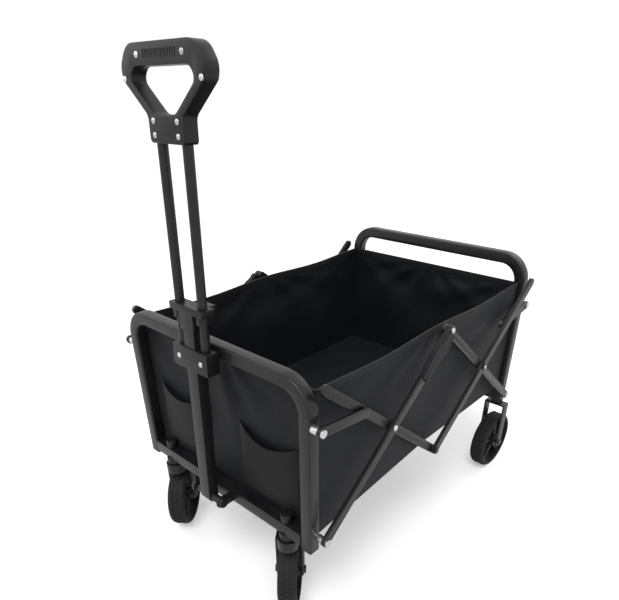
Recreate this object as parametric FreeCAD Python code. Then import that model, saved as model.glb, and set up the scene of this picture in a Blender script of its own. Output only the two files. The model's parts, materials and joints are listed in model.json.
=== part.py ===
# Folding transport cart: two end frames joined by scissor struts, fabric tub, casters, pull handle
import FreeCAD, Part
import math
import os

V = FreeCAD.Vector

# Overall sizes, mm
frame_width = 500.0          # outside the end frame posts
frame_length = 750.0         # outside the two end frames
front_height = 536.0         # top of the front rail
rear_height = 572.0          # top of the rear rail

# End frame tube
tube = 25.0
post_foot = 190.0
corner_radius = 62.0
rail_low = 200.0
rail_high = 225.0

# Scissor struts: one shared angle, lengths between pivots
pivot_inset = 21.0           # foot pivot, in from the outer face of the frame
pivot_height = 222.0
strut_angle = 39.2
foot_to_cross = 240.0
cross_to_mid = 216.8
cross_to_top = 229.7
strut_width = 18.0
strut_thick = 8.0
layer_gap = 2.0
post_gap = 3.0
pin_radius = 4.0
pin_clearance = 0.08
open_clearance = 0.4
head_radius = 7.0
head_height = 2.5
cross_to_link = 110.0
link_length = 114.6
link_angle = 7.3
link_width = 15.0
mid_rail_radius = 8.0

# Wheels
wheel_radius = 73.0
tyre_depth = 9.0
tyre_width = 38.0
rim_width = 30.0
rim_wall = 5.0
hub_radius = 15.0
spoke_count = 5
spoke_width = 8.0
spoke_thick = 22.0
axle_radius = 4.0
fork_gap = 4.0
fork_thick = 4.0
fork_width = 26.0
caster_inset = 70.0
caster_trail = 25.0
caster_heading = 38.0
caster_plate = 175.0
socket_radius = 10.0
socket_flange = 6.0
socket_cap = 12.0
socket_foot = 183.0
socket_top = 243.0
stem_radius = 8.0
hood_gap = 5.0
rear_fork_gap_above = 28.0

# Handle
handle_stand = 27.0          # pivot, in front of the front frame
handle_pivot_height = 213.0
handle_lean = 2.0
lug_spacing = 72.0
lug_thick = 4.0
bracket_plate = 5.0
lug_radius = 12.5
pivot_bolt_radius = 5.0
lower_width = 28.0
lower_depth = 22.0
lower_length = 378.0
stay_radius = 8.0
stay_offset = 30.5
clamp_low = 489.0
clamp_height = 40.0
clamp_width = 94.0
clamp_depth = 27.0
grip_low = 838.0
neck_width = 82.0
neck_height = 34.0
grip_width = 205.0
grip_height = 120.0
grip_thick = 25.0
grip_band = 27.0
grip_flare = 50.0
grip_shoulder = 26.0
loop_foot = 24.0
slide_clearance = 0.4
hook_reach = 38.0
hook_width = 30.0

# Fabric tub
cloth = 2.0
cloth_gap = 0.3
tub_top = 512.0
tub_low_front = 206.0

half_width = frame_width / 2
half_length = frame_length / 2
front_face = -half_length
front_reach = half_length + handle_stand + lug_radius
rear_reach = half_length - tube / 2 + wheel_radius
shift_y = (front_reach - rear_reach) / 2     # puts the middle of the whole cart at y = 0
layer_one = half_width + post_gap
layer_two = layer_one + strut_thick + layer_gap
foot_y = half_length - pivot_inset
angle = math.radians(strut_angle)
cross_y = foot_y - foot_to_cross * math.cos(angle)
cross_z = pivot_height + foot_to_cross * math.sin(angle)
mid_top_z = cross_z + cross_to_mid * math.sin(angle)
mid_low_z = cross_z - cross_to_mid * math.sin(angle)
top_y = cross_y + cross_to_top * math.cos(angle)
top_z = cross_z + cross_to_top * math.sin(angle)
link_y = cross_y + cross_to_link * math.cos(angle)
link_z = cross_z + cross_to_link * math.sin(angle)
tub_low_mid = mid_low_z + mid_rail_radius + 2 * cloth_gap
floor_height = tub_low_mid + cloth_gap
post_link_y = link_y + link_length * math.cos(math.radians(link_angle))
post_link_z = link_z + link_length * math.sin(math.radians(link_angle))

os.makedirs("parts", exist_ok=True)


def save(name, *solids):
    shape = solids[0] if len(solids) == 1 else Part.makeCompound(list(solids))
    shape = shape.copy()
    shape.translate(V(0, shift_y, 0))
    shape.exportStep("parts/" + name + ".step")


def box(x0, x1, y0, y1, z0, z1):
    return Part.makeBox(x1 - x0, y1 - y0, z1 - z0, V(x0, y0, z0))


def rod(start, end, radius):
    start, end = V(*start), V(*end)
    return Part.makeCylinder(radius, (end - start).Length, start, end - start)


def round_wire(points, radius):
    """Closed outline through the points, each corner an arc of its own radius."""
    edges = []
    count = len(points)
    last = None
    first = None
    for i in range(count):
        corner = V(*points[i])
        before = V(*points[i - 1]) - corner
        after = V(*points[(i + 1) % count]) - corner
        before.normalize()
        after.normalize()
        turn = radius[i]
        if turn <= 0:
            start = middle = end = corner
        else:
            half = before.getAngle(after) / 2
            reach = turn / math.tan(half)
            start = corner + before * reach
            end = corner + after * reach
            inward = before + after
            inward.normalize()
            middle = corner + inward * (turn / math.sin(half) - turn)
        if last is not None and (start - last).Length > 1e-6:
            edges.append(Part.makeLine(last, start))
        if turn > 0:
            edges.append(Part.Arc(start, middle, end).toShape())
        if first is None:
            first = start
        last = end
    if (last - first).Length > 1e-6:
        edges.append(Part.makeLine(last, first))
    return Part.Wire(edges)


def plate(points, radius, direction):
    return Part.Face(round_wire(points, radius)).extrude(V(*direction))


def end_frame(face_y, height):
    """Bent tube: two posts and a top rail with large round corners."""
    inner = half_width - tube
    outline = [(-half_width, face_y, post_foot), (-half_width, face_y, height),
               (half_width, face_y, height), (half_width, face_y, post_foot),
               (inner, face_y, post_foot), (inner, face_y, height - tube),
               (-inner, face_y, height - tube), (-inner, face_y, post_foot)]
    inside = corner_radius - tube
    return plate(outline, [0, corner_radius, corner_radius, 0, 0, inside, inside, 0], (0, tube, 0))


def lower_rail(face_y):
    inner = half_width - tube
    return box(-inner, inner, face_y, face_y + tube, rail_low, rail_high)


def strut(x0, start, end, holes, pins):
    """Flat-oval bar in one layer between two points of a side, with rivet pins and holes."""
    side = 1 if x0 > 0 else -1
    low, high = sorted((x0, x0 + side * strut_thick))
    a, b = V(low, start[0], start[1]), V(low, end[0], end[1])
    along = (b - a).normalize()
    half = strut_width / 2
    across = V(0, -along.z, along.y) * half
    face = [a + across, a - along * half, a - across, b - across, b + along * half, b + across]
    wire = Part.Wire([Part.Arc(face[0], face[1], face[2]).toShape(), Part.makeLine(face[2], face[3]),
                      Part.Arc(face[3], face[4], face[5]).toShape(), Part.makeLine(face[5], face[0])])
    bar = Part.Face(wire).extrude(V(high - low, 0, 0))
    for place, gap in holes:
        bar = bar.cut(rod((low - 1, *place), (high + 1, *place), pin_radius + gap))
    for place, x1, x2 in pins:
        bar = bar.fuse(rod((min(x1, x2), *place), (max(x1, x2), *place), pin_radius))
    return bar.removeSplitter()


def head(x, place, side):
    return rod((x, *place), (x + side * head_height, *place), head_radius)


# End frames, lower rails and their pivot pins
for name, face_y, height, sign in (("front", front_face, front_height, -1),
                                   ("rear", half_length - tube, rear_height, 1)):
    frame = end_frame(face_y, height)
    foot = (sign * foot_y, pivot_height)
    hinge = (sign * post_link_y, post_link_z)
    pins = []
    layer = layer_two if name == "front" else layer_one
    for side in (-1, 1):
        for place in (foot, hinge):
            far = layer + strut_thick + cloth_gap
            inner_end = layer - cloth_gap
            pin = rod((side * half_width, *place), (side * far, *place), pin_radius)
            collar = rod((side * half_width, *place), (side * inner_end, *place), head_radius)
            pins.append(pin.fuse(collar).fuse(head(side * far, place, side)).removeSplitter())
    rail = lower_rail(face_y)
    if name == "front":
        for side in (-1, 1):
            x = side * (half_width - caster_inset)
            y = face_y + tube / 2
            rail = rail.cut(rod((x, y, rail_low - 1), (x, y, rail_high + 1), socket_radius))
    save(name + "_frame_tube", frame)
    save(name + "_lower_rail", rail)
    save(name + "_pivot_pins", *pins)

# Side struts
for word, side in (("right", 1), ("left", -1)):
    one = side * layer_one
    two = side * layer_two
    outer = side * (layer_two + strut_thick + cloth_gap)
    front_foot, rear_foot = (-foot_y, pivot_height), (foot_y, pivot_height)
    front_cross, rear_cross = (-cross_y, cross_z), (cross_y, cross_z)
    mid_top, mid_low = (0, mid_top_z), (0, mid_low_z)
    front_top, rear_top = (-top_y, top_z), (top_y, top_z)
    foot_gap = pin_clearance if side > 0 else open_clearance
    front_long = strut(two, front_foot, mid_top, [(front_foot, pin_clearance)],
                       [(front_cross, one, two), (mid_top, one, two)])
    rear_long = strut(one, rear_foot, mid_top, [(rear_foot, foot_gap), (mid_top, pin_clearance)],
                      [(rear_cross, one + side * strut_thick, outer)])
    rear_long = rear_long.fuse(head(outer, rear_cross, side)).removeSplitter()
    front_short = strut(one, front_top, mid_low, [(front_cross, pin_clearance)],
                        [(mid_low, one + side * strut_thick, outer)])
    front_short = front_short.fuse(head(outer, mid_low, side)).removeSplitter()
    rear_short = strut(two, rear_top, mid_low, [(rear_cross, pin_clearance), (mid_low, open_clearance)], [])
    save("front_long_strut_" + word, front_long)
    save("rear_long_strut_" + word, rear_long)
    save("front_short_strut_" + word, front_short)
    save("rear_short_strut_" + word, rear_short)
    for end, sign, layer in (("front", -1, two), ("rear", 1, one)):
        at_post = (sign * post_link_y, post_link_z)
        at_strut = (sign * link_y, link_z)
        save(end + "_post_link_" + word, strut(layer, at_post, at_strut, [(at_post, pin_clearance)], []))
mid_end = layer_one - cloth_gap
save("mid_cross_rail", rod((-mid_end, 0, mid_low_z), (layer_one, 0, mid_low_z), mid_rail_radius))


def wheel(x, y):
    """Tyre and spoked rim standing at x, y with the axle along X."""
    half = tyre_width / 2
    rim_radius = wheel_radius - tyre_depth
    tyre = rod((x - half, y, wheel_radius), (x + half, y, wheel_radius), wheel_radius)
    edges = [e for e in tyre.Edges if isinstance(e.Curve, Part.Circle)]
    tyre = tyre.makeFillet(tyre_depth * 0.6, edges)
    tyre = tyre.cut(rod((x - half, y, wheel_radius), (x + half, y, wheel_radius), rim_radius))
    flat = rim_width / 2
    rim = rod((x - flat, y, wheel_radius), (x + flat, y, wheel_radius), rim_radius)
    rim = rim.cut(rod((x - flat, y, wheel_radius), (x + flat, y, wheel_radius), rim_radius - rim_wall))
    hub = rod((x - flat - 2, y, wheel_radius), (x + flat + 2, y, wheel_radius), hub_radius)
    web = spoke_thick / 2
    for i in range(spoke_count):
        spoke = box(x - web, x + web, y - spoke_width / 2, y + spoke_width / 2,
                    wheel_radius, wheel_radius + rim_radius - rim_wall / 2)
        spoke.rotate(V(x, y, wheel_radius), V(1, 0, 0), 360.0 * i / spoke_count)
        hub = hub.fuse(spoke)
    rim = rim.fuse(hub)
    bore = axle_radius + pin_clearance
    rim = rim.cut(rod((x - 50, y, wheel_radius), (x + 50, y, wheel_radius), bore))
    return tyre, rim.removeSplitter()


def fork_arms(x, y, top):
    """Two flat arms with a plate over the wheel and the axle bolt through them."""
    inner = tyre_width / 2 + fork_gap
    outer = inner + fork_thick
    half = fork_width / 2
    shape = box(x - outer, x + outer, y - half, y + half, top - fork_thick, top)
    for side in (-1, 1):
        low, high = sorted((x + side * inner, x + side * outer))
        arm = box(low, high, y - half, y + half, wheel_radius, top)
        foot = rod((low, y, wheel_radius), (high, y, wheel_radius), half)
        shape = shape.fuse(arm).fuse(foot)
    axle = rod((x - outer - 4, y, wheel_radius), (x + outer + 4, y, wheel_radius), axle_radius)
    for side in (-1, 1):
        shape = shape.fuse(rod((x + side * outer, y, wheel_radius), (x + side * (outer + 4), y, wheel_radius), 8))
    return shape.fuse(axle).removeSplitter()


# Casters and rear wheels
for word, side in (("right", 1), ("left", -1)):
    x = side * (half_width - caster_inset)
    y = front_face + tube / 2
    socket = rod((x, y, socket_foot), (x, y, socket_top), socket_radius)
    socket = socket.fuse(rod((x, y, socket_foot), (x, y, rail_low), socket_radius + socket_flange))
    socket = socket.fuse(rod((x, y, rail_high), (x, y, socket_top), socket_cap))
    save("front_caster_socket_" + word, socket.removeSplitter())
    fork = fork_arms(x, y + caster_trail, caster_plate - hood_gap - 6)
    plate_top = socket_foot - cloth_gap
    crown = rod((x, y, caster_plate - hood_gap - 10), (x, y, plate_top), 20)
    crown = crown.fuse(box(x - 16, x + 16, y, y + caster_trail, caster_plate - hood_gap - 10, plate_top - 8))
    fork = fork.fuse(crown).removeSplitter()
    tyre, rim = wheel(x, y + caster_trail)
    for piece in (fork, tyre, rim):
        piece.rotate(V(x, y, 0), V(0, 0, 1), caster_heading)
    save("front_caster_fork_" + word, fork)
    save("front_tyre_" + word, tyre)
    save("front_wheel_" + word, rim)
    x = side * (half_width - tube / 2)
    y = half_length - tube / 2
    save("rear_fork_" + word, fork_arms(x, y, post_foot))
    tyre, rim = wheel(x, y)
    save("rear_tyre_" + word, tyre)
    save("rear_wheel_" + word, rim)

# Handle bracket on the front rail, and the handle leaning back on its pivot
pivot_y = front_face - handle_stand
bracket = box(-lug_spacing / 2 - lug_thick, lug_spacing / 2 + lug_thick, front_face - bracket_plate, front_face,
              rail_low, rail_high)
for side in (-1, 1):
    low, high = sorted((side * lug_spacing / 2, side * (lug_spacing / 2 + lug_thick)))
    bracket = bracket.fuse(box(low, high, pivot_y, front_face, rail_low, rail_high))
    bracket = bracket.fuse(rod((low, pivot_y, handle_pivot_height), (high, pivot_y, handle_pivot_height), lug_radius))
reach = lug_spacing / 2 + lug_thick + 4
bolt = rod((-reach, pivot_y, handle_pivot_height), (reach, pivot_y, handle_pivot_height), pivot_bolt_radius)
for side in (-1, 1):
    bolt = bolt.fuse(rod((side * (reach - 4), pivot_y, handle_pivot_height),
                         (side * (reach + 2), pivot_y, handle_pivot_height), 10))
save("handle_bracket", bracket.fuse(bolt).removeSplitter())


def lean(shape):
    shape.rotate(V(0, pivot_y, handle_pivot_height), V(1, 0, 0), -handle_lean)
    return shape


half_lower = lower_width / 2
half_depth = lower_depth / 2
lower_top = handle_pivot_height + lower_length
bore = pivot_bolt_radius + pin_clearance
lower = box(-half_lower, half_lower, pivot_y - half_depth, pivot_y + half_depth, handle_pivot_height, lower_top)
lower = lower.fuse(rod((-half_lower, pivot_y, handle_pivot_height), (half_lower, pivot_y, handle_pivot_height),
                       half_depth))
for side in (-1, 1):
    sleeve = rod((side * half_lower, pivot_y, handle_pivot_height),
                 (side * (lug_spacing / 2 - 1), pivot_y, handle_pivot_height), 8)
    lower = lower.fuse(sleeve)
lower = lower.cut(rod((-60, pivot_y, handle_pivot_height), (60, pivot_y, handle_pivot_height), bore))
save("handle_lower_tube", lean(lower.removeSplitter()))

stay_bore = stay_radius + slide_clearance
upper = box(-stay_offset - 13, stay_offset + 13, pivot_y - 13, pivot_y + 13, lower_top, lower_top + 12)
skirt = box(-half_lower - 4, half_lower + 4, pivot_y - 13, pivot_y + 13, lower_top - 30, lower_top)
skirt = skirt.cut(box(-half_lower, half_lower, pivot_y - half_depth, pivot_y + half_depth, 0, lower_top))
hook = box(-hook_width / 2, hook_width / 2, pivot_y + 13, pivot_y + hook_reach, lower_top - 2, lower_top + 6)
hook = hook.fuse(box(-hook_width / 2, hook_width / 2, pivot_y + hook_reach - 5, pivot_y + hook_reach,
                     lower_top - 24, lower_top + 6))
upper = upper.fuse(skirt).fuse(hook)
for side in (-1, 1):
    x = side * stay_offset
    upper = upper.fuse(rod((x, pivot_y, lower_top - 14), (x, pivot_y, lower_top + 12), 12))
for side in (-1, 1):
    x = side * stay_offset
    upper = upper.cut(rod((x, pivot_y, lower_top - 20), (x, pivot_y, lower_top + 20), stay_bore))
save("handle_top_bracket", lean(upper.removeSplitter()))

half_clamp = clamp_width / 2
clamp_top = clamp_low + clamp_height
clamp = box(-half_clamp, half_clamp, pivot_y - clamp_depth / 2, pivot_y + clamp_depth / 2, clamp_low, clamp_top)
inner_x = half_lower + slide_clearance
inner_y = half_depth + slide_clearance
clamp = clamp.cut(box(-inner_x, inner_x, pivot_y - inner_y, pivot_y + inner_y, clamp_low - 1, clamp_top + 1))
stays = []
for side in (-1, 1):
    x = side * stay_offset
    clamp = clamp.cut(rod((x, pivot_y, clamp_low + 6), (x, pivot_y, clamp_top + 1), stay_radius))
    stays.append(lean(rod((x, pivot_y, clamp_low + 6), (x, pivot_y, grip_low), stay_radius)))
save("handle_clamp", lean(clamp.removeSplitter()))
save("handle_stay_tubes", *stays)

grip_top = grip_low + grip_height
half_neck = neck_width / 2
half_grip = grip_width / 2
shoulder = grip_low + neck_height
front = pivot_y - grip_thick / 2
crest = half_grip - grip_shoulder
outline = [(-half_neck, front, grip_low), (half_neck, front, grip_low), (half_neck, front, shoulder),
           (half_grip, front, shoulder + grip_flare), (crest, front, grip_top), (-crest, front, grip_top),
           (-half_grip, front, shoulder + grip_flare), (-half_neck, front, shoulder)]
inset = half_grip - grip_band
inner_crest = crest - grip_band / 2
under_bar = grip_top - grip_band
loop = [(-loop_foot, front, shoulder + 2), (loop_foot, front, shoulder + 2),
        (inset, front, under_bar - 16), (inner_crest, front, under_bar),
        (-inner_crest, front, under_bar), (-inset, front, under_bar - 16)]
grip = plate(outline, [6, 6, 14, 22, 30, 30, 22, 14], (0, grip_thick, 0))
grip = grip.cut(plate(loop, [20, 20, 10, 16, 16, 10], (0, grip_thick, 0)))
save("handle_grip", lean(grip))

# Fabric tub: thin walls split at the middle of the cart, where the folding halves meet
wall_x = half_width - 10
front_y = front_face + tube + cloth_gap
panel_half = wall_x - cloth - cloth_gap
for end, sign in (("front", -1), ("rear", 1)):
    y0, y1 = sorted((-sign * front_y, -sign * (front_y + cloth)))
    save(end + "_panel", box(-panel_half, panel_half, y0, y1, tub_low_front + 10, tub_top - 4))
    start = -sign * (front_y + cloth + cloth_gap)
    middle = sign * cloth_gap / 2
    low_end = tub_low_front if sign < 0 else tub_low_mid
    for word, side in (("right", 1), ("left", -1)):
        x = side * wall_x if side < 0 else wall_x - cloth
        outline = [(x, start, low_end), (x, middle, tub_low_mid), (x, middle, tub_top), (x, start, tub_top)]
        save("%s_side_panel_%s" % (end, word), plate(outline, [0, 0, 0, 0], (cloth, 0, 0)))
    y0, y1 = sorted((start, middle))
    save(end + "_floor_board", box(-panel_half, panel_half, y0, y1, floor_height, floor_height + cloth + 1))
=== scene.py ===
import bpy, json, math
from mathutils import Matrix, Vector


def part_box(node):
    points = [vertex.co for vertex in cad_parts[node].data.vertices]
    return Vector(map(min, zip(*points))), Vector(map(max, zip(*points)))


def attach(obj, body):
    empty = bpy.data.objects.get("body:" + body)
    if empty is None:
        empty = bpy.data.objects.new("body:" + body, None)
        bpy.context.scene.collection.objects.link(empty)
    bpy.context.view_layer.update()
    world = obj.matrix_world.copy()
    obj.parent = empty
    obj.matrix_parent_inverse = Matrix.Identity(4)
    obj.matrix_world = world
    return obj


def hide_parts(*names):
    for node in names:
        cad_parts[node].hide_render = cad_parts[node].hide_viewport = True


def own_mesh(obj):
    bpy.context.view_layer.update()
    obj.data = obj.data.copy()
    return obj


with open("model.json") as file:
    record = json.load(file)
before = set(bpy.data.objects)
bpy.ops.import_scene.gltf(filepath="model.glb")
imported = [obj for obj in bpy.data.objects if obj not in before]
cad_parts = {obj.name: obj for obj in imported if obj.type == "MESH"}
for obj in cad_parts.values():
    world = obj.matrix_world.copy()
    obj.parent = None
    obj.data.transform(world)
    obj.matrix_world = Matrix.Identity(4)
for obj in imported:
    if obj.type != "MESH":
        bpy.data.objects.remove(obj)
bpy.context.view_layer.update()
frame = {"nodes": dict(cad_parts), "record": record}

behaviour = frame["record"]["behaviour"]
bodyOf = {node: body for body, nodes in behaviour["bodies"].items() for node in nodes}
joints = {j["name"]: j for j in behaviour["joints"]}
jointAt = {name: Vector(j["pos_m"]) for name, j in joints.items() if "pos_m" in j}
middleY = jointAt["mid_top_right"].y
sides = (("right", 1), ("left", -1))


# materials
finishes = {
    "painted": dict(colour=(0.008, 0.008, 0.009), rough=0.36, metal=0.0, coat=0.1, grain=900, bump=0.03),
    "plastic": dict(colour=(0.006, 0.006, 0.007), rough=0.4, metal=0.0, coat=0.0, grain=1400, bump=0.08),
    "wheelPlastic": dict(colour=(0.006, 0.006, 0.007), rough=0.5, metal=0.0, coat=0.0, grain=1100, bump=0.08),
    "tyre": dict(colour=(0.007, 0.007, 0.007), rough=0.7, metal=0.0, coat=0.0, grain=700, bump=0.2),
    "steel": dict(colour=(0.6, 0.6, 0.61), rough=0.3, metal=1.0, coat=0.0, grain=800, bump=0.03),
}
cloths = {
    "fabric": dict(colour=(0.0035, 0.0042, 0.0066), rough=0.6, threads=260),
    "mesh": dict(colour=(0.0025, 0.0025, 0.003), rough=0.6, threads=90),
    "binding": dict(colour=(0.008, 0.0085, 0.01), rough=0.6, threads=200),
}
surfaces = {
    "hard": dict(scale=14, detail=5, stops=(0.3, 0.7), shares=(0.8, 1.3), smoother=0.06, rougher=0.08,
                 specular=0.35, relief=0.001),
    "cloth": dict(scale=9, detail=8, stops=(0.32, 0.68), shares=(0.7, 1.35), smoother=0.08, rougher=0.08,
                  specular=0.25, relief=0.0006, sheen=0.04, sheenRough=0.4, bump=0.25),
}


def newMaterial(name):
    mat = bpy.data.materials.new(name)
    mat.use_nodes = True
    return mat, mat.node_tree, mat.node_tree.nodes["Principled BSDF"]


def mottle(tree, shader, place, colour, rough, look):
    # slow clouds that vary the colour and the gloss
    cloud = tree.nodes.new("ShaderNodeTexNoise")
    cloud.inputs["Scale"].default_value = look["scale"]
    cloud.inputs["Detail"].default_value = look["detail"]
    tree.links.new(place.outputs["Object"], cloud.inputs["Vector"])
    tint = tree.nodes.new("ShaderNodeValToRGB")
    for stop, position, share in zip(tint.color_ramp.elements, look["stops"], look["shares"]):
        stop.position = position
        stop.color = (*[c * share for c in colour], 1)
    tree.links.new(cloud.outputs["Fac"], tint.inputs["Fac"])
    tree.links.new(tint.outputs["Color"], shader.inputs["Base Color"])
    gloss = tree.nodes.new("ShaderNodeMapRange")
    gloss.inputs["To Min"].default_value = rough - look["smoother"]
    gloss.inputs["To Max"].default_value = rough + look["rougher"]
    tree.links.new(cloud.outputs["Fac"], gloss.inputs["Value"])
    tree.links.new(gloss.outputs["Result"], shader.inputs["Roughness"])


def relief(tree, shader, height, strength, distance):
    bump = tree.nodes.new("ShaderNodeBump")
    bump.inputs["Strength"].default_value = strength
    bump.inputs["Distance"].default_value = distance
    tree.links.new(height, bump.inputs["Height"])
    tree.links.new(bump.outputs["Normal"], shader.inputs["Normal"])


def hardFinish(name, colour, rough, metal, coat, grain, bump):
    look = surfaces["hard"]
    mat, tree, shader = newMaterial(name)
    shader.inputs["Metallic"].default_value = metal
    shader.inputs["Coat Weight"].default_value = coat
    shader.inputs["Specular IOR Level"].default_value = look["specular"]
    place = tree.nodes.new("ShaderNodeTexCoord")
    mottle(tree, shader, place, colour, rough, look)
    fine = tree.nodes.new("ShaderNodeTexNoise")
    fine.inputs["Scale"].default_value = grain
    tree.links.new(place.outputs["Object"], fine.inputs["Vector"])
    relief(tree, shader, fine.outputs["Fac"], bump, look["relief"])
    return mat


def clothFinish(name, colour, rough, threads):
    look = surfaces["cloth"]
    mat, tree, shader = newMaterial(name)
    shader.inputs["Sheen Weight"].default_value = look["sheen"]
    shader.inputs["Sheen Roughness"].default_value = look["sheenRough"]
    shader.inputs["Specular IOR Level"].default_value = look["specular"]
    place = tree.nodes.new("ShaderNodeTexCoord")
    mottle(tree, shader, place, colour, rough, look)
    weave = None
    for direction in ("X", "Y", "Z"):       # threads run along each axis, so every panel has two sets
        wave = tree.nodes.new("ShaderNodeTexWave")
        wave.bands_direction = direction
        wave.inputs["Scale"].default_value = threads
        tree.links.new(place.outputs["Object"], wave.inputs["Vector"])
        if weave is None:
            weave = wave.outputs["Fac"]
            continue
        both = tree.nodes.new("ShaderNodeMath")
        tree.links.new(weave, both.inputs[0])
        tree.links.new(wave.outputs["Fac"], both.inputs[1])
        weave = both.outputs[0]
    relief(tree, shader, weave, look["bump"], look["relief"])
    return mat


materials = {name: hardFinish(name, **values) for name, values in finishes.items()}
materials.update((name, clothFinish(name, **values)) for name, values in cloths.items())
slotFinish = {"painted_tube": "painted", "black_steel": "painted", "rivets": "steel", "tyre": "tyre",
              "moulded_plastic": "plastic", "wheel_plastic": "wheelPlastic", "fabric": "fabric"}
slotOf = {part["node"]: part["material_slot"] for part in frame["record"]["subparts"]}


def paint(obj, name):
    obj.data.materials.clear()
    obj.data.materials.append(materials[name])


for node, obj in frame["nodes"].items():
    paint(obj, slotFinish[slotOf[node]])
print("materials set")


# helpers
weld = 0.00002


def clear():
    if bpy.context.object and bpy.context.object.mode != "OBJECT":
        bpy.ops.object.mode_set(mode="OBJECT")
    bpy.ops.object.select_all(action="DESELECT")


def pick(obj):
    clear()
    obj.select_set(True)
    bpy.context.view_layer.objects.active = obj


def settle(obj, name, finish, body=None):
    pick(obj)
    bpy.ops.object.transform_apply(location=True, rotation=True, scale=True)
    bpy.ops.object.mode_set(mode="EDIT")
    bpy.ops.mesh.select_all(action="SELECT")
    bpy.ops.mesh.remove_doubles(threshold=weld)
    bpy.ops.mesh.normals_make_consistent(inside=False)
    bpy.ops.object.mode_set(mode="OBJECT")
    obj.name = name
    paint(obj, finish)
    if body:
        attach(obj, body)
    return obj


def applyModifier(obj, kind, **values):
    bpy.context.view_layer.objects.active = obj
    mod = obj.modifiers.new(kind, kind)
    for key, value in values.items():
        setattr(mod, key, value)
    bpy.ops.object.modifier_apply(modifier=mod.name)


def joinAll(pieces):
    clear()
    for piece in pieces:
        piece.select_set(True)
    bpy.context.view_layer.objects.active = pieces[0]
    bpy.ops.object.join()
    return bpy.context.object


# softened metal and plastic: the same pieces with their edges rounded
edges = {
    "front_frame_tube": 0.004, "rear_frame_tube": 0.004,
    "front_lower_rail": 0.003, "rear_lower_rail": 0.003,
    "handle_lower_tube": 0.003, "handle_clamp": 0.004,
    "handle_top_bracket": 0.0015, "handle_bracket": 0.0015, "handle_grip": 0.0105,
    "front_caster_fork_right": 0.0015, "front_caster_fork_left": 0.0015,
    "rear_fork_right": 0.0012, "rear_fork_left": 0.0012,
    "front_caster_socket_right": 0.003, "front_caster_socket_left": 0.003,
}
for side in ("right", "left"):
    for part in ("front_long_strut", "rear_long_strut", "front_short_strut", "rear_short_strut",
                 "front_post_link", "rear_post_link"):
        edges[part + "_" + side] = 0.0025
flat = math.radians(0.6)       # faces this near to level with each other become one
sharp = math.radians(40)
for node, width in edges.items():
    source = frame["nodes"][node]
    soft = source.copy()
    soft.data = source.data.copy()
    soft.parent = None
    soft.matrix_world = source.matrix_world.copy()
    for key in list(soft.keys()):
        if key.startswith("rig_"):
            del soft[key]
    bpy.context.scene.collection.objects.link(soft)
    pick(soft)
    bpy.ops.object.mode_set(mode="EDIT")
    bpy.ops.mesh.select_all(action="SELECT")
    bpy.ops.mesh.remove_doubles(threshold=weld)
    bpy.ops.mesh.dissolve_limited(angle_limit=flat)
    bpy.ops.object.mode_set(mode="OBJECT")
    applyModifier(soft, "BEVEL", width=width, segments=3, limit_method="ANGLE", angle_limit=sharp)
    soft = settle(soft, node + "_rounded", slotFinish[slotOf[node]], bodyOf[node])
    pick(soft)
    bpy.ops.object.shade_smooth_by_angle(angle=math.radians(35))
    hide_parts(node)
print("edges rounded")


# screws and rivets
def stud(name, centre, normal, radius, height, body):
    clear()
    turn = Vector((0, 0, 1)).rotation_difference(Vector(normal)).to_euler()
    bpy.ops.mesh.primitive_uv_sphere_add(segments=20, ring_count=10, radius=radius, location=centre,
                                         rotation=turn)
    head = bpy.context.object
    head.scale = (1, 1, height / radius)
    bpy.ops.object.shade_smooth()
    settle(head, name, "steel", body)


pivotRivet = dict(radius=0.006, height=0.003, proud=0.001,
                  bodies={"mid_top": "front_long", "front_cross": "front_long", "rear_cross": "rear_long"})
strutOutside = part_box("front_long_strut_right")[1][0]
for side, sign in sides:
    for joint, body in pivotRivet["bodies"].items():
        at = jointAt[joint + "_" + side]
        stud("rivet_%s_%s" % (joint, side), (sign * (strutOutside + pivotRivet["proud"]), at.y, at.z),
             (sign, 0, 0), pivotRivet["radius"], pivotRivet["height"], body + "_" + side)
leanAxis = Vector(joints["handle_slide"]["axis"])
pivot = jointAt["handle_pivot"]


def handleY(z, out):
    # the leaning handle's middle at this height, moved out towards one of its faces
    return pivot.y + (z - pivot.z) * leanAxis.y / leanAxis.z + out


gripScrew = dict(radius=0.0042, height=0.002, out=0.0127,
                 spots=[(-0.052, 0.944), (0.052, 0.944), (-0.088, 0.916), (0.088, 0.916),
                        (-0.028, 0.866), (0.028, 0.866), (-0.028, 0.848), (0.028, 0.848)])
for i, (x, z) in enumerate(gripScrew["spots"]):
    for way, face in ((-1, "front"), (1, "back")):
        stud("grip_screw_%d_%s" % (i, face), (x, handleY(z, way * gripScrew["out"]), z), (0, way, 0),
             gripScrew["radius"], gripScrew["height"], "upper_handle")
clampRivet = dict(radius=0.005, height=0.002, sunk=0.0005, across=0.03)
clampBox = [Vector(v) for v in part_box("handle_clamp")]
for i, x in enumerate((-clampRivet["across"], clampRivet["across"])):
    stud("clamp_rivet_%d" % i, (x, clampBox[0].y + clampRivet["sunk"], (clampBox[0].z + clampBox[1].z) / 2),
         (0, -1, 0), clampRivet["radius"], clampRivet["height"], "upper_handle")
gripRibs = dict(count=15, spacing=0.0052, height=0.01045, z=0.9445, width=0.0018, proud=0.0014, out=0.0125,
                round=0.0004)
ribs = []
for i in range(gripRibs["count"]):
    for way in (-1, 1):
        clear()
        y = handleY(gripRibs["z"], way * gripRibs["out"])
        x = (i - (gripRibs["count"] - 1) / 2) * gripRibs["spacing"]
        bpy.ops.mesh.primitive_cube_add(size=1, location=(x, y, gripRibs["z"]))
        bpy.context.object.scale = (gripRibs["width"], gripRibs["proud"], gripRibs["height"])
        ribs.append(bpy.context.object)
ribPad = joinAll(ribs)
bpy.ops.object.transform_apply(location=True, rotation=True, scale=True)
applyModifier(ribPad, "BEVEL", width=gripRibs["round"], segments=2)
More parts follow.
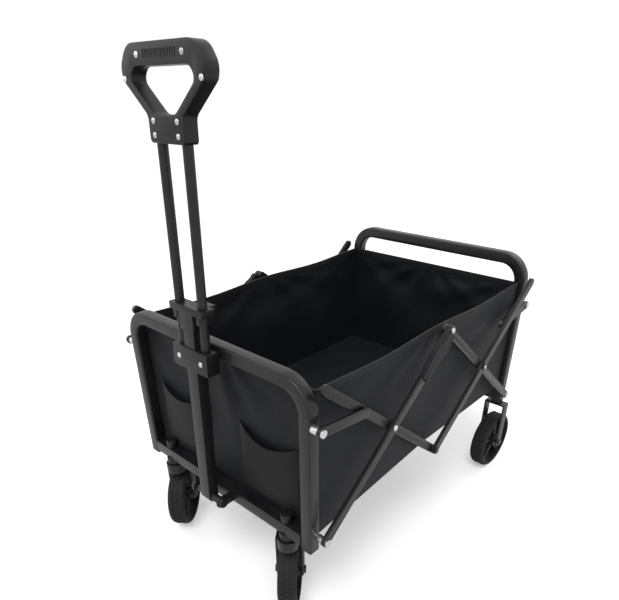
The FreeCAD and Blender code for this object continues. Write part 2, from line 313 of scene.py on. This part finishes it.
settle(ribPad, "grip_ribs", "plastic", "upper_handle")
print("screws set")


# tread blocks
tread = dict(count=36, rows=(-0.0105, 0, 0.0105), width=0.008925, length=0.00765, height=0.0026, slant=0.3,
             round=0.0006)
tyreBox = [Vector(v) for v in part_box("rear_tyre_right")]
radius = (tyreBox[1].z - tyreBox[0].z) / 2
blocks = []
for i in range(tread["count"]):
    for row, x in enumerate(tread["rows"]):
        clear()
        angle = 2 * math.pi * (i + 0.5 * (row % 2)) / tread["count"]
        y, z = math.sin(angle) * radius, math.cos(angle) * radius
        bpy.ops.mesh.primitive_cube_add(size=1, location=(x, y, z),
                                        rotation=(-angle, 0, tread["slant"] * (row - 1)))
        bpy.context.object.scale = (tread["width"], tread["length"], tread["height"])
        blocks.append(bpy.context.object)
ring = joinAll(blocks)
bpy.ops.object.transform_apply(location=True, rotation=True, scale=True)
applyModifier(ring, "BEVEL", width=tread["round"], segments=1)
for place in ("front", "rear"):
    for side in ("right", "left"):
        joint = joints[place + "_wheel_spin_" + side]
        copy = ring.copy()
        copy.data = ring.data.copy()
        bpy.context.scene.collection.objects.link(copy)
        turn = Vector((1, 0, 0)).rotation_difference(Vector(joint["axis"])).to_matrix().to_4x4()
        copy.data.transform(Matrix.Translation(Vector(joint["pos_m"])) @ turn)
        copy.matrix_world = Matrix.Identity(4)
        settle(copy, "tread_%s_%s" % (place, side), "tyre", joint["child"])
bpy.data.objects.remove(ring)
print("tread made")


# fabric tub
tub = dict(halfWidth=0.2375, halfLength=0.3465, top=0.512, floor=0.2485, low=0.214, hem=0.003, sag=0.006,
           cloth=0.0014, sideCuts=(70, 30), endCuts=(50, 30), floorCuts=(50, 70),
           sideFolds=0.006, frontFolds=0.008, rearFolds=0.010, floorFolds=0.002)
crease = dict(centres=((0, 1), (1, 1), (0.5, 1.05)), rays=9, moreRays=2, start=0.05, fade=2.4, fan=0.9,
              ripple=0.25)


def creases(u, v, seed):
    # soft folds that fan out from the upper corners and the middle, none at the panel's own edges
    fade = math.sin(math.pi * min(max(u, 0), 1)) ** 0.5 * math.sin(math.pi * min(max(v, 0), 1)) ** 0.7
    fan = 0
    for k, (cu, cv) in enumerate(crease["centres"]):
        distance = math.hypot(u - cu, v - cv) + crease["start"]
        rays = crease["rays"] + crease["moreRays"] * k
        fan += math.sin(math.atan2(v - cv, u - cu) * rays + seed + k) * math.exp(-crease["fade"] * distance)
    return fade * (crease["fan"] * fan + crease["ripple"] * math.sin(5 * u + 7 * v + seed))


def panel(name, cuts, shape, depth, normal, seed):
    clear()
    bpy.ops.mesh.primitive_grid_add(x_subdivisions=cuts[0], y_subdivisions=cuts[1], size=1)
    grid = bpy.context.object
    for vert in grid.data.vertices:
        u, v = vert.co.x + 0.5, vert.co.y + 0.5
        vert.co = Vector(shape(u, v)) + Vector(normal) * depth * creases(u, v, seed)
    grid.name = name
    return grid


w, l, top, floor, low = tub["halfWidth"], tub["halfLength"], tub["top"], tub["floor"], tub["low"]
hemLow = floor - tub["hem"]


def rim(u):
    return top - tub["sag"] * math.sin(2 * math.pi * u) ** 2


def sideLow(u):
    return low + (hemLow - low) * min(1, 2 * u)


def alongTub(u):
    return middleY - l + 2 * l * u


def acrossTub(u):
    return -w + 2 * w * u


def sideWall(x):
    return lambda u, v: (x, alongTub(u), sideLow(u) + (rim(u) - sideLow(u)) * v)


def endWall(y, foot):
    return lambda u, v: (acrossTub(u), y, foot + (top - foot) * v)


def floorSheet(u, v):
    return acrossTub(u), alongTub(v), floor


# name, cuts, surface, depth of its folds, inward direction, seed of its folds
sheets = [
    panel("sideRight", tub["sideCuts"], sideWall(w), tub["sideFolds"], (-1, 0, 0), 0.4),
    panel("sideLeft", tub["sideCuts"], sideWall(-w), tub["sideFolds"], (1, 0, 0), 1.7),
    panel("frontWall", tub["endCuts"], endWall(middleY - l, low), tub["frontFolds"], (0, 1, 0), 2.9),
    panel("rearWall", tub["endCuts"], endWall(middleY + l, hemLow), tub["rearFolds"], (0, -1, 0), 4.1),
    panel("floorSheet", tub["floorCuts"], floorSheet, tub["floorFolds"], (0, 0, 1), 5.3),
]
tubPiece = joinAll(sheets)
applyModifier(tubPiece, "SOLIDIFY", thickness=tub["cloth"], offset=0)
tubPiece = settle(tubPiece, "fabric_tub", "fabric")
bpy.ops.object.shade_smooth_by_angle(angle=math.radians(60))

band = dict(width=0.0034, height=0.011, drop=0.005, cuts=24)
bindings = []
for x, y, wide, long in ((w, 0, band["width"], 2 * l), (-w, 0, band["width"], 2 * l),
                         (0, -l, 2 * w, band["width"]), (0, l, 2 * w, band["width"])):
    clear()
    bpy.ops.mesh.primitive_cube_add(size=1, location=(x, middleY + y, top - band["drop"]))
    strip = bpy.context.object
    strip.scale = (wide, long, band["height"])
    bpy.ops.object.transform_apply(location=True, rotation=True, scale=True)
    bpy.ops.object.mode_set(mode="EDIT")
    bpy.ops.mesh.subdivide(number_cuts=band["cuts"])
    bpy.ops.object.mode_set(mode="OBJECT")
    if long > wide:       # the side bands follow the sagging rim
        for vert in strip.data.vertices:
            vert.co.z += rim((vert.co.y - middleY + l) / (2 * l)) - top
    bindings.append(strip)
bindingPiece = settle(joinAll(bindings), "tub_binding", "binding")

tubNodes = [n for n in frame["nodes"] if slotOf[n] == "fabric"]
for piece in (tubPiece, bindingPiece):
    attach(piece, "front_frame")
    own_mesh(piece)
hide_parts(*tubNodes)


# pockets on the front wall
pocket = dict(width=0.15, height=0.15, low=0.235, bulge=0.014, centre=0.125, dip=0.022, gap=0.002,
              cloth=0.0012, cuts=(24, 20), footShare=0.25)
for side, sign in sides:
    clear()
    across, up = pocket["cuts"]
    bpy.ops.mesh.primitive_grid_add(x_subdivisions=across, y_subdivisions=up, size=1)
    bag = bpy.context.object
    for vert in bag.data.vertices:
        u, v = vert.co.x + 0.5, vert.co.y + 0.5
        dip = pocket["dip"] * math.sin(math.pi * u) * v
        fuller = pocket["footShare"] + (1 - pocket["footShare"]) * v ** 0.5       # deepest at the mouth
        out = pocket["bulge"] * math.sin(math.pi * u) ** 0.6 * fuller * min(1, 6 * v + 0.05)
        vert.co = (sign * pocket["centre"] + (u - 0.5) * pocket["width"], middleY - l - pocket["gap"] - out,
                   pocket["low"] + pocket["height"] * v - dip)
    applyModifier(bag, "SOLIDIFY", thickness=pocket["cloth"], offset=0)
    bag = settle(bag, "mesh_pocket_" + side, "mesh", "front_frame")
    bpy.ops.object.shade_smooth_by_angle(angle=math.radians(60))
print("pockets made")


# sleeves over the long struts' tops
sleeve = dict(length=0.105, width=0.030, thick=0.0125, start=0.004, inward=0.0025, wave=0.004, belly=0.0006,
              waves=9, pleats=480, cuts=6, round=0.003)
for side, sign in sides:
    foot = jointAt["fold"] if side == "right" else jointAt["front_strut_left"]
    mid = jointAt["mid_top_" + side]
    slope = math.atan2(mid.z - foot.z, mid.y - foot.y)
    middle = sign * (strutOutside - sleeve["inward"])
    reach = sleeve["start"] + sleeve["length"] / 2
    clear()
    spot = (middle, mid.y - reach * math.cos(slope), mid.z - reach * math.sin(slope))
    bpy.ops.mesh.primitive_cube_add(size=1, location=spot, rotation=(slope, 0, 0))
    cover = bpy.context.object
    cover.scale = (sleeve["thick"], sleeve["length"], sleeve["width"])
    bpy.ops.object.transform_apply(location=True, rotation=True, scale=True)
    bpy.ops.object.mode_set(mode="EDIT")
    bpy.ops.mesh.subdivide(number_cuts=sleeve["cuts"])
    bpy.ops.object.mode_set(mode="OBJECT")
    for vert in cover.data.vertices:      # slack waves along it and across it
        back = (mid.y - vert.co.y) / sleeve["length"]
        vert.co.z -= sleeve["wave"] * math.sin(sleeve["waves"] * back)
        vert.co.x += sign * sleeve["belly"] * math.sin(sleeve["pleats"] * vert.co.z)
    applyModifier(cover, "BEVEL", width=sleeve["round"], segments=2, limit_method="ANGLE")
    cover = settle(cover, "strut_sleeve_" + side, "binding", "front_long_" + side)
    bpy.ops.object.shade_smooth_by_angle(angle=math.radians(50))
print("sleeves made")


# floor, light and camera
studio = dict(floor=400, under=0.0005, pale=0.9, glow=0.34, ambient=0.55, backdrop=1.0, lampSize=1.6,
              aim=0.4, sun=1.1, sunSpread=25, sunTurn=(28, 12))
clear()
bpy.ops.mesh.primitive_plane_add(size=studio["floor"], location=(0, 0, -studio["under"]))
ground = bpy.context.object
ground.name = "studio_floor"
mat, tree, shader = newMaterial("paleFloor")
shader.inputs["Base Color"].default_value = (*[studio["pale"]] * 3, 1)
shader.inputs["Roughness"].default_value = 0.9
shader.inputs["Emission Color"].default_value = (1, 1, 1, 1)
paths = tree.nodes.new("ShaderNodeLightPath")
lift = tree.nodes.new("ShaderNodeMapRange")      # pale for the camera only, so it lights nothing
lift.inputs["To Max"].default_value = studio["glow"]
tree.links.new(paths.outputs["Is Camera Ray"], lift.inputs["Value"])
tree.links.new(lift.outputs["Result"], shader.inputs["Emission Strength"])
ground.data.materials.append(mat)

world = bpy.data.worlds.new("studio")
bpy.context.scene.world = world
world.use_nodes = True
tree = world.node_tree
paths = tree.nodes.new("ShaderNodeLightPath")
seen = paths.outputs["Is Camera Ray"]
for ray in ("Is Glossy Ray", "Is Transmission Ray"):
    either = tree.nodes.new("ShaderNodeMath")
    either.operation = "MAXIMUM"
    tree.links.new(seen, either.inputs[0])
    tree.links.new(paths.outputs[ray], either.inputs[1])
    seen = either.outputs[0]
level = tree.nodes.new("ShaderNodeMapRange")
level.inputs["To Min"].default_value = studio["ambient"]
level.inputs["To Max"].default_value = studio["backdrop"]
tree.links.new(seen, level.inputs["Value"])
tree.links.new(level.outputs["Result"], tree.nodes["Background"].inputs["Strength"])
tree.nodes["Background"].inputs["Color"].default_value = (1, 1, 1, 1)

lamps = {"key": ((1.6, -1.4, 2.4), 14), "fill": ((-1.8, -1.2, 1.8), 7), "back": ((0.4, 2.2, 2.2), 10)}
for name, (place, power) in lamps.items():
    data = bpy.data.lights.new(name, "AREA")
    data.energy = power
    data.size = studio["lampSize"]
    lamp = bpy.data.objects.new(name, data)
    lamp.location = place
    lamp.rotation_euler = (Vector((0, 0, studio["aim"])) - Vector(place)).to_track_quat("-Z", "Y").to_euler()
    bpy.context.scene.collection.objects.link(lamp)
sunData = bpy.data.lights.new("sun", "SUN")
sunData.energy = studio["sun"]
sunData.angle = math.radians(studio["sunSpread"])
sun = bpy.data.objects.new("sun", sunData)
sun.rotation_euler = (math.radians(studio["sunTurn"][0]), math.radians(studio["sunTurn"][1]), 0)
bpy.context.scene.collection.objects.link(sun)

view = dict(place=(0.725, -0.891, 0.909), turn=43.53, down=32.07, roll=-0.82, lens=31.51, shiftX=0.0048,
            shiftY=0.197)
data = bpy.data.cameras.new("camera")
data.lens = view["lens"]
data.sensor_width = 36
data.shift_x = view["shiftX"]
data.shift_y = view["shiftY"]
camera = bpy.data.objects.new("camera", data)
turn = Matrix.Rotation(math.radians(view["turn"]), 4, "Z")
tilt = Matrix.Rotation(math.radians(90 - view["down"]), 4, "X")
roll = Matrix.Rotation(math.radians(view["roll"]), 4, "Z")
camera.matrix_world = Matrix.Translation(view["place"]) @ turn @ tilt @ roll
bpy.context.scene.collection.objects.link(camera)
bpy.context.scene.camera = camera
bpy.context.scene.view_settings.view_transform = "Standard"
print("stage set")
